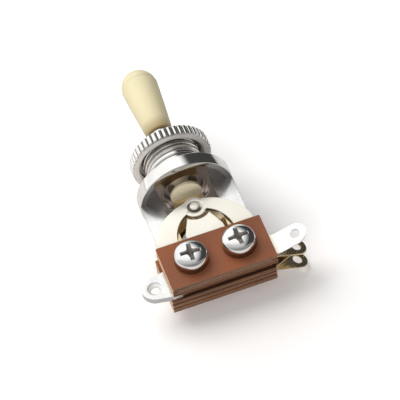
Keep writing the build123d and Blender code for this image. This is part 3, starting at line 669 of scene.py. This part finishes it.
def bushing_mesh():
    """Threaded barrel, flange and cup, with the ball's seat inside."""
    _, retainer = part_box("ball_retainer")
    lower = softened(
        [
            (SEAT_R, PIVOT_Z),
            (SEAT_R, retainer.z),
            (retainer.x, retainer.z),
            (retainer.x, WELL_TOP),
            (WELL_R, WELL_TOP),
            (WELL_R, CEILING_Z),
            (CUP_R, CEILING_Z),
            (CUP_R, RIM_Z),
            (FLANGE_R, RIM_Z),
            (FLANGE_R, 0),
            (THREAD_R, 0),
        ],
        FLANGE_EDGE,
    )
    barrel = rows_between(THREAD_R, 0.0, BARREL_TOP - BARREL_CHAMFER, THREAD_ROW)
    upper = softened(
        [
            (THREAD_R, BARREL_TOP - BARREL_CHAMFER),
            (THREAD_R - BARREL_CHAMFER, BARREL_TOP),
            (MOUTH_R, BARREL_TOP),
            (SEAT_EDGE_R, PIVOT_Z + SEAT_RISE),
            (SEAT_R, PIVOT_Z),
        ],
        BARREL_EDGE,
    )
    heights = [SEAT_RISE * share / 6 for share in range(6, 0, -1)]
    seat = [(sqrt(SEAT_R**2 - height**2), PIVOT_Z + height) for height in heights]
    corner = CORNER_STEPS + 1  # points of a corner, left out where the parts of the outline meet
    profile = lower[:-corner] + barrel + upper[corner:-corner] + seat
    ridges = (THREAD_R, THREAD_PITCH, THREAD_DEPTH, THREAD_START, THREAD_END, THREAD_RUN_OUT)
    return turned(profile, BUSHING_SEGMENTS, thread(*ridges, THREAD_ROUNDNESS, THREAD_TURN))


new_object("bushing_turned", bushing_mesh(), "bushing_metal", "switch_body", ["bushing"], 50)

# ---------------------------------------------------------------- knurled nut
KNURLS = 46
KNURL_SEGMENTS = 16
KNURL_TURN = radians(1.0)
KNURL_DEPTH = 0.42 * MM
KNURL_GROOVE = 0.34  # a groove's share of the knurl
KNURL_CROWN = 0.24 * MM
KNURL_REACH = 0.45 * MM  # how far in from the rim the knurl shapes the nut
NUT_BORE_R = 6.05 * MM
NUT_MOUTH_R = 7.2 * MM
NUT_EDGE = 0.32 * MM  # from a face to the straight part of the rim
NUT_CORNER = ((0.5, 0.0), (0.3, 0.04), (0.12, 0.14))  # mm in from the rim, and mm from the face


def knurl(r, z, angle):
    """Crowned lands with narrow grooves between them, on the points near the rim."""
    if r < NUT_R - KNURL_REACH:
        return r
    place = abs(((angle - KNURL_TURN) * KNURLS / (2 * pi)) % 1.0 - 0.5) * 2  # 0 in a groove, 1 on a land
    groove = 1 - smooth_step(0.0, KNURL_GROOVE, place)
    crown = KNURL_CROWN * (1 - place) ** 2
    return min(r, NUT_R - KNURL_DEPTH * groove - crown)


def nut_mesh():
    """Knurled rim with chamfered edges, and a bore with a wide mouth below and a narrow one above."""
    bottom, top = nut_low.z, nut_high.z
    sink = NUT_MOUTH_R - NUT_BORE_R
    rim_height = top - bottom - 2 * NUT_EDGE
    rim = [(NUT_R, bottom + NUT_EDGE + rim_height * i / 6) for i in range(7)]
    bottom_corner = [(NUT_R - inset * MM, bottom + rise * MM) for inset, rise in NUT_CORNER]
    top_corner = [(r, top + bottom - z) for r, z in reversed(bottom_corner)]
    inner = softened(
        [
            (NUT_R - 0.6 * MM, top),
            (NUT_BORE_R + sink / 2, top),
            (NUT_BORE_R, top - sink / 2),
            (NUT_BORE_R, bottom + sink),
            (NUT_MOUTH_R, bottom),
            (NUT_R - 0.6 * MM, bottom),
        ],
        0.08 * MM,
        3,
    )
    inner = [p for p in inner if p[0] < NUT_R - 0.7 * MM]
    return turned(inner + bottom_corner + rim + top_corner, KNURLS * KNURL_SEGMENTS, knurl)


new_object("panel_nut_knurled", nut_mesh(), "nut_metal", "knurled_nut", ["knurled_nut"], 60)

# ---------------------------------------------------------------- lever and tip
ROD_R = 2.4 * MM
BALL_R = 3.5 * MM
SHANK_R = 1.6 * MM
FOOT_R = 3.3 * MM
FOOT_THICKNESS = 0.8 * MM
STUD_R = 1.9 * MM
STUD_DEPTH = 8.5 * MM
AXIS_R = 0.02 * MM  # an outline's end near the axis, left out once its corners are rounded
LEVER_SEGMENTS = 96


def lever_mesh():
    """Stud, rod, ball, shank and foot disc in one turned piece."""
    foot = lever_low.z
    ball_top = PIVOT_Z + sqrt(BALL_R**2 - ROD_R**2)
    ball_bottom = PIVOT_Z - sqrt(BALL_R**2 - SHANK_R**2)
    lower = softened(
        [
            (SHANK_R, ball_bottom - 0.2 * MM),
            (SHANK_R, foot + FOOT_THICKNESS),
            (FOOT_R, foot + FOOT_THICKNESS),
            (FOOT_R, foot),
            (AXIS_R, foot),
        ],
        0.12 * MM,
    )
    lower = [p for p in lower if p[1] < ball_bottom - 0.25 * MM and p[0] > 0.3 * MM]
    upper = softened(
        [
            (AXIS_R, lever_high.z),
            (STUD_R, lever_high.z),
            (STUD_R, tip_low.z),
            (ROD_R, tip_low.z),
            (ROD_R, tip_low.z - 3 * MM),
        ],
        0.15 * MM,
    )
    upper = [p for p in upper if p[0] > 0.3 * MM and p[1] > tip_low.z - 1 * MM]
    start = atan2(ball_top - PIVOT_Z, ROD_R)
    end = atan2(ball_bottom - PIVOT_Z, SHANK_R)
    ball = []
    for i in range(25):
        a = start + (end - start) * i / 24
        ball.append((BALL_R * cos(a), PIVOT_Z + BALL_R * sin(a)))
    return turned([(0, foot), (0, lever_high.z)] + upper + ball + lower, LEVER_SEGMENTS)


new_object("lever_turned", lever_mesh(), "lever_metal", "lever", ["lever"], 50)

TIP_TOP_R = 3.95 * MM
TIP_BOTTOM_R = 2.85 * MM
TIP_FOOT_EDGE = 0.6 * MM
TIP_MOUTH_EDGE = 0.15 * MM
TIP_SWELL = 0.05 * MM
TIP_STEP = 0.12 * MM  # from the cone in to the dome, and from the cone's top up to the dome's middle
TIP_CREASE = ((0.01, 0.0), (0.06, 0.04), (0.26, 0.13), (0.24, 0.22))  # mm in from the cone, and mm up


def tip_mesh():
    """Cone with a fine crease under its dome, hollow for the stud."""
    dome_r = TIP_TOP_R - TIP_STEP
    dome_z = tip_high.z - dome_r
    cone_top = dome_z - TIP_STEP
    cone_bottom = tip_low.z + TIP_FOOT_EDGE
    bore_end = tip_low.z + STUD_DEPTH
    mouth = [(STUD_R, bore_end), (STUD_R, tip_low.z + TIP_MOUTH_EDGE), (STUD_R + TIP_MOUTH_EDGE, tip_low.z)]
    foot = []
    for i in range(7):
        a = pi / 2 * i / 6
        foot.append((TIP_BOTTOM_R - TIP_FOOT_EDGE * (1 - sin(a)), tip_low.z + TIP_FOOT_EDGE * (1 - cos(a))))
    cone = []
    for i in range(1, 30):
        t = i / 30
        r = TIP_BOTTOM_R + (TIP_TOP_R - TIP_BOTTOM_R) * t + TIP_SWELL * sin(pi * t)
        cone.append((r, cone_bottom + (cone_top - cone_bottom) * t))
    crease = [(TIP_TOP_R - inset * MM, cone_top + rise * MM) for inset, rise in TIP_CREASE]
    crease.append((dome_r - 0.03 * MM, dome_z + 0.28 * MM))
    dome = [(dome_r * cos(radians(a)), dome_z + dome_r * sin(radians(a))) for a in range(6, 90, 3)]
    return turned(mouth + foot + cone + crease + dome + [(0, tip_high.z), (0, bore_end)], LEVER_SEGMENTS)


new_object("tip_moulded", tip_mesh(), "tip_plastic", "lever", ["lever_tip"], 60)

# ---------------------------------------------------------------- rivet contacts
LOCAL_Z_TO_FRONT = Matrix.Rotation(radians(90), 4, "X")  # local z goes to -Y, and local x stays X
DOME_RISE = 0.45 * MM
CONTACT_EDGE = 0.12 * MM
CONTACT_SEGMENTS = 64


def contact_mesh(name, shank_r, leaf_thickness, way):
    """Head, shank and low dome of a rivet contact; way is -1 where its dome looks to -Y, and 1 to +Y."""
    low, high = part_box(name)
    head_r = (high.x - low.x) / 2
    centre = (low + high) / 2
    dome_end, head_end = (low.y, high.y) if way < 0 else (high.y, low.y)
    far_face = dome_end - way * DOME_RISE
    near_face = far_face - way * leaf_thickness
    profile = [(0.0, head_end), (head_r - CONTACT_EDGE, head_end)]
    for a in (radians(30), radians(60), radians(90)):
        profile.append((head_r - CONTACT_EDGE * (1 - sin(a)), head_end + way * CONTACT_EDGE * (1 - cos(a))))
    profile += [(head_r, near_face), (shank_r, near_face), (shank_r, far_face)]
    for a in range(4, 90, 5):
        profile.append((shank_r * sqrt(cos(radians(a))), far_face + way * DOME_RISE * sqrt(sin(radians(a)))))
    profile.append((0.0, dome_end))
    mesh = turned([(r, -y) for r, y in profile], CONTACT_SEGMENTS)
    mesh.transform(Matrix.Translation((centre.x, 0, centre.z)) @ LOCAL_Z_TO_FRONT)
    return mesh


CONTACTS = (  # name, shank's radius, leaf's thickness, and the way that the dome looks
    ("front_contact", 1.0 * MM, 0.25 * MM, -1),
    ("front_common_contact", 0.8 * MM, 0.2 * MM, 1),
    ("rear_common_contact", 0.8 * MM, 0.25 * MM, -1),
    ("rear_contact", 0.8 * MM, 0.25 * MM, 1),
)
for name, *shape in CONTACTS:
    new_object(f"{name}_turned", contact_mesh(name, *shape), "contact_metal", "switch_body", [name], 50)

# ---------------------------------------------------------------- screws and their nuts
SCREW_R = 1.5 * MM
SCREW_PITCH = 0.5 * MM
SCREW_THREAD_DEPTH = 0.27 * MM
HEAD_HEIGHT = 3.0 * MM
HEAD_FULLER = 0.18 * MM  # how much wider than the CAD's head
HEAD_EDGE = 0.9 * MM
HEAD_FULLNESS = 0.88
RECESS_SPAN = 4.1 * MM
RECESS_WIDTH = 0.85 * MM
RECESS_CORNER = 1.15 * MM  # sum of the sides' distances at the cut inner corners
RECESS_LIP = 0.06 * MM
RECESS_EDGE = ((-0.025, 0.012), (0.005, 0.045), (0.02, 0.1))  # mm in from the outline, and mm down
RECESS_WALL = (  # shares of the span and of the width, and mm below the crown's middle
    (0.93, 0.95, 0.85),
    (0.74, 0.88, 1.25),
    (0.50, 0.80, 1.65),
    (0.32, 0.70, 1.9),
)
RECESS_BOTTOM = 2.02 * MM
RECESS_TURNS = {"left": radians(-4.0), "right": radians(2.0)}
HEX_FLATS = 5.5 * MM
HEX_FACE_R = HEX_FLATS / 2 + 0.12 * MM
HEX_SEGMENTS = 96


def crown_point(t, head_r):
    """Point (r, z) on the head's crown, from its shoulder at t = 0 to its middle at t = 1."""
    a, b, c, d = (1 - t) ** 3, 3 * t * (1 - t) ** 2, 3 * t * t * (1 - t), t**3
    r = (a + b) * head_r + c * HEAD_FULLNESS * head_r
    z = a * HEAD_EDGE + b * (HEAD_EDGE + HEAD_FULLNESS * (HEAD_HEIGHT - HEAD_EDGE)) + (c + d) * HEAD_HEIGHT
    return r, z


def crown_height(r, head_r):
    """Height of the crown at a distance from the screw's axis."""
    low, high = 0.0, 1.0
    for _ in range(30):
        t = (low + high) / 2
        if crown_point(t, head_r)[0] > r:
            low = t
        else:
            high = t
    return crown_point(low, head_r)[1]


def cross_reach(angle, arm, half, corner):
    """Distance from the middle to the outline of a cross with cut inner corners."""
    a = abs((angle + pi / 4) % (pi / 2) - pi / 4)
    side = half / sin(a) if a > 1e-6 else 1.0
    return min(arm / cos(a), max(side, corner / (cos(a) + sin(a))))


def cross_angles(arm, half, corner):
    """Angles round the cross, with one at each of its corners."""
    tip = atan2(half, arm)
    notch = atan2(half, corner - half)
    quarter = [tip * i / 4 for i in range(4)]
    quarter += [tip + (notch - tip) * i / 10 for i in range(10)]
    quarter += [notch + (pi / 4 - notch) * i / 3 for i in range(4)]
    eighth = quarter + [pi / 2 - a for a in reversed(quarter[1:-1])]
    return [a + turn * pi / 2 for turn in range(4) for a in eighth]


def screw_mesh(head_r, length):
    """Pan-head screw whose head's mesh follows the outline of its cross recess; z is along the screw."""
    shape = thread(
        SCREW_R, SCREW_PITCH, SCREW_THREAD_DEPTH, -length + 0.1 * MM, -0.3 * MM, 0.3 * MM, roundness=1.3
    )
    angles = cross_angles(RECESS_SPAN / 2, RECESS_WIDTH / 2, RECESS_CORNER)
    shank = rows_between(SCREW_R, -length + 0.3 * MM, -0.05 * MM, 0.05 * MM)
    under = [(SCREW_R, 0.0), (head_r - 0.12 * MM, 0.0), (head_r - 0.04 * MM, 0.04 * MM), (head_r, 0.14 * MM)]
    rows = []
    for r, z in [(SCREW_R - 0.3 * MM, -length)] + shank + under:
        rows.append([(shape(r, z, a), z) for a in angles])
    for i in range(17):
        rows.append([crown_point(i / 24, head_r)] * len(angles))
    last_r = rows[-1][0][0]
    outline = [cross_reach(a, RECESS_SPAN / 2, RECESS_WIDTH / 2, RECESS_CORNER) for a in angles]
    for share in (0.75, 0.5, 0.25, 0.0):
        row = [reach + RECESS_LIP + (last_r - reach - RECESS_LIP) * share for reach in outline]
        rows.append([(r, crown_height(r, head_r)) for r in row])
    for inset, drop in RECESS_EDGE:
        row = [reach - inset * MM for reach in outline]
        rows.append([(r, crown_height(r, head_r) - drop * MM) for r in row])
    for arm, half, drop in RECESS_WALL:
        cross = (RECESS_SPAN / 2 * arm, RECESS_WIDTH / 2 * half, RECESS_CORNER * half)
        rows.append([(cross_reach(a, *cross), HEAD_HEIGHT - drop * MM) for a in angles])
    bm = bmesh.new()
    rings = [[bm.verts.new((r * cos(a), r * sin(a), z)) for (r, z), a in zip(row, angles)] for row in rows]
    count = len(angles)
    recess_from = len(rings) - len(RECESS_WALL) - 2
    for i, (low, high) in enumerate(zip(rings, rings[1:])):
        for k in range(count):
            j = (k + 1) % count
            face = bm.faces.new((low[k], low[j], high[j], high[k]))
            face.material_index = 1 if i >= recess_from else 0
    for ring, z, material_index in ((rings[0], -length, 0), (rings[-1], HEAD_HEIGHT - RECESS_BOTTOM, 1)):
        middle_vertex = bm.verts.new((0, 0, z))
        for k in range(count):
            face = bm.faces.new((ring[k], ring[(k + 1) % count], middle_vertex))
            face.material_index = material_index
    bmesh.ops.recalc_face_normals(bm, faces=bm.faces)
    mesh = bpy.data.meshes.new("screw")
    bm.to_mesh(mesh)
    bm.free()
    return mesh


def hex_nut_mesh(height):
    """Hexagonal nut with its corners cut off at both faces; z is along its axis."""

    def shape(r, z, angle):
        if r < HEX_FLATS / 2:
            return r
        side = HEX_FLATS / 2 / cos(angle % (pi / 3) - pi / 6)
        return min(side, HEX_FACE_R + min(z, height - z) / tan(radians(30)))

    wall = [(HEX_FLATS / 2, height * i / 12) for i in range(13)]
    bore_r, mouth_r, mouth = SCREW_R + 0.02 * MM, SCREW_R + 0.25 * MM, 0.25 * MM
    bore = [(mouth_r, height), (bore_r, height - mouth), (bore_r, mouth), (mouth_r, 0)]
    return turned(wall + bore, HEX_SEGMENTS, shape)


for side in ("left", "right"):
    screw_low, screw_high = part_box(f"{side}_screw")
    centre = (screw_low + screw_high) / 2
    mesh = screw_mesh((screw_high.x - screw_low.x) / 2 + HEAD_FULLER, screw_high.y - plate_low.y)
    stand = Matrix.Translation((centre.x, plate_low.y, centre.z)) @ LOCAL_Z_TO_FRONT
    mesh.transform(stand @ Matrix.Rotation(RECESS_TURNS[side], 4, "Z"))
    new_object(f"{side}_screw_cross_recess", mesh, "screw_metal", "switch_body", [f"{side}_screw"], 42)
    mesh.materials.append(materials["screw_recess_shade"])

    hex_low, hex_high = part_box(f"{side}_nut")
    mesh = hex_nut_mesh(hex_high.y - hex_low.y)
    mesh.transform(Matrix.Translation((centre.x, hex_high.y, centre.z)) @ LOCAL_Z_TO_FRONT)
    new_object(f"{side}_hex_nut", mesh, "screw_metal", "switch_body", [f"{side}_nut"], 30)


# ---------------------------------------------------------------- floor
FLOOR_HALF = 1.6
FLOOR_GAP = 0.03 * MM
# The table's glow paints a soft shadow round a point under the stack.
SHADE_REACH = 28 * MM  # from the flange to the deepest shade, under the stack
GLOW_LEVELS = (0.06, 1.1)
GLOW_REACH = (0.012, 0.20)  # metres from the deepest shade


def floor_plane():
    """A point, a direction and the normal of the table that the flange and the screws' ends touch."""
    screw_low, screw_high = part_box("left_screw")
    flange_point = Vector((0, bushing_high.y, RIM_Z + 0.3 * MM))
    screw_point = Vector((0, screw_high.y, (screw_low.z + screw_high.z) / 2 - SCREW_R))
    along = (flange_point - screw_point).normalized()
    normal = Vector((0, -along.z, along.y))
    return flange_point - normal * FLOOR_GAP, along, normal


floor_point, floor_along, floor_normal = floor_plane()
floor_mesh = bpy.data.meshes.new("floor")
corners = []
for x, z in ((-1, -1), (1, -1), (1, 1), (-1, 1)):
    corners.append(floor_point + Vector((x, 0, 0)) * FLOOR_HALF + floor_along * z * FLOOR_HALF)
floor_mesh.from_pydata(corners, [], [(0, 1, 2, 3)])
floor_mesh.update()
if floor_mesh.polygons[0].normal.dot(floor_normal) < 0:
    floor_mesh.flip_normals()
floor = bpy.data.objects.new("floor", floor_mesh)
bpy.context.scene.collection.objects.link(floor)


def floor_material():
    """White table: the lamps' light, a glow of its own from above with a painted shadow round the stack,
    darker in gloss as painted shade, and clear from below.
    """
    material = bpy.data.materials.new("floor_white")
    material.use_nodes = True
    tree = material.node_tree
    tree.nodes.clear()
    path = tree.nodes.new("ShaderNodeLightPath")
    diffuse = tree.nodes.new("ShaderNodeBsdfDiffuse")
    # Painted shade: seen in gloss, the table is darker.
    colour = mixed(tree, path.outputs["Is Glossy Ray"], (0.94, 0.912, 0.895), (0.82, 0.79, 0.77))
    tree.links.new(colour, diffuse.inputs["Color"])
    # The table's glow is a painted shadow: it glows least round a point under the stack, and beyond the
    # lamps' reach it glows most
    glow = tree.nodes.new("ShaderNodeEmission")
    glow.inputs["Color"].default_value = (0.93, 0.97, 1.0, 1)
    shade = floor_point - floor_along * SHADE_REACH
    away = vector_maths(tree, "DISTANCE", surface(tree), shade)
    strength = value_range(tree, away, *GLOW_LEVELS, *GLOW_REACH)
    tree.links.new(product(tree, strength, path.outputs["Is Camera Ray"]), glow.inputs["Strength"])
    lit = tree.nodes.new("ShaderNodeAddShader")
    tree.links.new(diffuse.outputs[0], lit.inputs[0])
    tree.links.new(glow.outputs[0], lit.inputs[1])
    clear = tree.nodes.new("ShaderNodeBsdfTransparent")
    sides = tree.nodes.new("ShaderNodeMixShader")
    side = tree.nodes.new("ShaderNodeNewGeometry")
    tree.links.new(side.outputs["Backfacing"], sides.inputs[0])
    tree.links.new(lit.outputs[0], sides.inputs[1])
    tree.links.new(clear.outputs[0], sides.inputs[2])
    output = tree.nodes.new("ShaderNodeOutputMaterial")
    tree.links.new(sides.outputs[0], output.inputs["Surface"])
    return material


floor_mesh.materials.append(floor_material())
floor.visible_shadow = False
floor.visible_diffuse = False

# ---------------------------------------------------------------- world and lamps
DARK_LEVEL = 0.06
LOW_LEVEL = 0.28
MIDDLE_RISE = 0.45
HIGH_RISE = 0.57
SIDE_DROP = 0.16
WORLD_LIGHT = 0.31
# Each band comes in between its first two values and goes out between its last two
DARK_BEARINGS = (radians(-84), radians(-62), radians(110), radians(124))
DARK_HEIGHTS = (-0.5, -0.15, 0.85, 0.97)
DIM_BEARINGS = (radians(-172), radians(-140))
MIDDLE_HEIGHTS = (-0.75, 0.3)
HIGH_HEIGHTS = (0.18, 0.54)


def build_world():
    """Plain light all round; gloss sees a white sky over a grey ground, and a dark side to the right."""
    world = bpy.data.worlds.new("studio")
    bpy.context.scene.world = world
    world.use_nodes = True
    tree = world.node_tree
    tree.nodes.clear()

    def fade_in(value, start, end):
        return value_range(tree, value, 0.0, 1.0, start, end, "SMOOTHSTEP")

    def fade_out(value, start, end):
        return value_range(tree, value, 1.0, 0.0, start, end, "SMOOTHSTEP")

    def band(value, limits):
        return product(tree, fade_in(value, *limits[:2]), fade_out(value, *limits[2:]))

    x, y, z = axes(tree, surface(tree, "Generated"))
    bearing = maths(tree, "ARCTAN2", y, x)
    dark = product(tree, band(bearing, DARK_BEARINGS), band(z, DARK_HEIGHTS))
    side_drop = product(tree, fade_out(bearing, *DIM_BEARINGS), SIDE_DROP)
    high_rise = maths(tree, "SUBTRACT", HIGH_RISE, side_drop)
    level = maths(tree, "MULTIPLY_ADD", fade_in(z, *MIDDLE_HEIGHTS), MIDDLE_RISE, LOW_LEVEL)
    level = maths(tree, "MULTIPLY_ADD", fade_in(z, *HIGH_HEIGHTS), high_rise, level)
    level = product(tree, level, maths(tree, "SUBTRACT", 1.0, dark))
    level = maths(tree, "MULTIPLY_ADD", dark, DARK_LEVEL, level)
    path = tree.nodes.new("ShaderNodeLightPath")
    glossy = path.outputs["Is Glossy Ray"]
    seen = maths(tree, "MAXIMUM", path.outputs["Is Camera Ray"], path.outputs["Is Transmission Ray"])
    plain = maths(tree, "SUBTRACT", 1.0, maths(tree, "MAXIMUM", seen, glossy))
    strength = maths(tree, "MULTIPLY_ADD", plain, WORLD_LIGHT, seen)
    strength = maths(tree, "MULTIPLY_ADD", glossy, level, strength)
    background = tree.nodes.new("ShaderNodeBackground")
    background.inputs["Color"].default_value = (1, 1, 1, 1)
    tree.links.new(strength, background.inputs["Strength"])
    output = tree.nodes.new("ShaderNodeOutputWorld")
    tree.links.new(background.outputs[0], output.inputs["Surface"])
    world.cycles.sampling_method = "NONE"


build_world()

middle = (cad_bounds[0] + cad_bounds[1]) / 2


def lamp(name, direction, distance, size, power, glint=False):
    """A square area lamp that looks at the switch; only one with a glint shows in gloss."""
    data = bpy.data.lights.new(name, "AREA")
    data.shape = "SQUARE"
    data.size = size
    data.energy = power
    light = bpy.data.objects.new(name, data)
    bpy.context.scene.collection.objects.link(light)
    direction = Vector(direction).normalized()
    light.location = middle + direction * distance
    light.rotation_mode = "QUATERNION"
    light.rotation_quaternion = direction.to_track_quat("Z", "Y")
    light.visible_camera = False
    light.visible_glossy = glint


lamp("key_softbox", (-0.38, -0.74, 0.56), 0.42, 0.36, 1.53)
lamp("low_fill", (-0.38, -0.46, -0.80), 0.42, 0.25, 1.0)
lamp("rear_fill", (-0.25, 0.85, 0.45), 0.50, 0.40, 1.0)
lamp("spark", (0.92, 0.15, 0.34), 0.45, 0.03, 0.05, True)

bpy.context.scene.view_settings.view_transform = "Standard"
